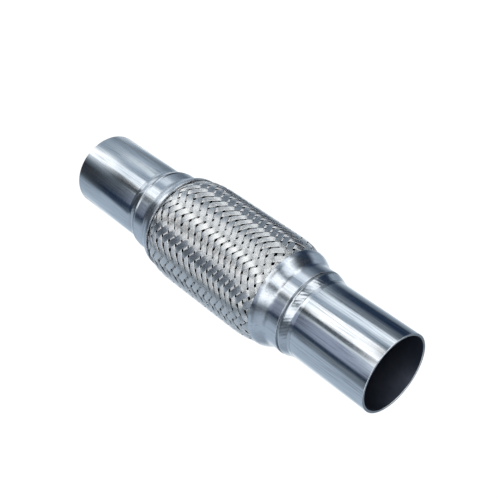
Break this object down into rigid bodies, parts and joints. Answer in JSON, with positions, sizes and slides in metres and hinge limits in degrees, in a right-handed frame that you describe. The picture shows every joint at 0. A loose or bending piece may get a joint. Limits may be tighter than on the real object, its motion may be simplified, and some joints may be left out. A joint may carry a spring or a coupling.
{
  "type": "exhaust flex pipe",
  "caption": "Braided exhaust flex pipe: a woven steel barrel over bellows and an inner sleeve, with pressed collars and welded plain pipe ends.",
  "frame": {"origin": "centre of the inlet pipe's square-cut end, on which the part stands", "axes": "+Z along the pipe from the inlet to the outlet, +X along the axis of the bend joint"},
  "size_m": [0.069, 0.069, 0.259],
  "materials": {
    "pipe_steel": "satin, drawn and lightly polished",
    "collar_steel": "pressed and lightly polished",
    "weld_steel": "rippled weld metal",
    "inner_wire": "braided wire",
    "bellows_steel": "bright drawn sheet",
    "braid_wire": "bright braided wire ribbons"
  },
  "bodies": {
    "inlet": {"inlet_pipe": "pipe_steel", "inlet_collar": "collar_steel", "inlet_weld": "weld_steel", "inner_braid": "inner_wire", "bellows": "bellows_steel", "outer_braid": "braid_wire"},
    "outlet": {"outlet_pipe": "pipe_steel", "outlet_collar": "collar_steel", "outlet_weld": "weld_steel"}
  },
  "joints": [
    {"name": "flex_bend", "type": "hinge", "parent": "inlet", "child": "outlet", "pos_m": [0, 0, 0.1295], "axis": [1, 0, 0], "range_deg": [-12, 12], "stiffness_Nm_per_rad": 45, "deforming": ["outer_braid", "bellows", "inner_braid"]}
  ]
}
